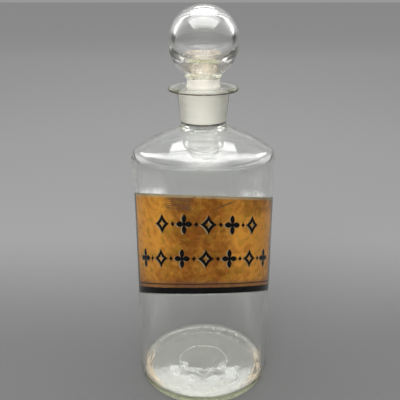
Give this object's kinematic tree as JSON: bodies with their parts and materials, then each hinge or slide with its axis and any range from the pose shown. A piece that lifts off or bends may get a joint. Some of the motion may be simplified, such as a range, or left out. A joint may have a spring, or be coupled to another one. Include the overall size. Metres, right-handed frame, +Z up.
{
  "type": "apothecary bottle",
  "caption": "Clear glass shop bottle for liquids, with a hollow ball stopper ground into its neck and a gilded glass label let into its wall.",
  "frame": {"origin": "centre of the flat ring that the bottle stands on, on the bottle's axis", "axes": "+Z up along the bottle's axis and out of its mouth, -Y towards the middle of the label, +X to the right as the label is read"},
  "size_m": [0.096, 0.096, 0.2634],
  "materials": {
    "bottle_glass": "clear, slightly grey-green old glass, hand finished, with a ground mouth",
    "stopper_glass": "clear blown glass with a ground plug",
    "label_glass": "thin clear curved glass, polished",
    "gold_leaf": "aged gold leaf, mottled amber, worn in places",
    "black_enamel": "black painted enamel behind glass",
    "label_cement": "dry resin cement"
  },
  "bodies": {
    "bottle": {"bottle_body": "bottle_glass", "label_cement": "label_cement", "gold_leaf": "gold_leaf", "enamel_border": "black_enamel", "enamel_rule": "black_enamel", "upper_lozenge_1": "black_enamel", "upper_flower_2": "black_enamel", "upper_bead_1": "black_enamel", "upper_lozenge_3": "black_enamel", "upper_bead_2": "black_enamel", "upper_flower_4": "black_enamel", "upper_bead_3": "black_enamel", "upper_lozenge_5": "black_enamel", "upper_bead_4": "black_enamel", "lower_flower_1": "black_enamel", "lower_lozenge_2": "black_enamel", "lower_bead_1": "black_enamel", "lower_flower_3": "black_enamel", "lower_bead_2": "black_enamel", "lower_lozenge_4": "black_enamel", "lower_bead_3": "black_enamel", "lower_flower_5": "black_enamel", "lower_bead_4": "black_enamel", "lower_lozenge_6": "black_enamel", "lower_bead_5": "black_enamel", "lower_flower_7": "black_enamel", "lower_bead_6": "black_enamel", "label_glass": "label_glass"},
    "stopper": {"stopper": "stopper_glass"}
  },
  "joints": [
    {"name": "stopper_lift", "type": "slide", "parent": "bottle", "child": "stopper", "axis": [0, 0, 1], "range_m": [0, 0.07]}
  ]
}
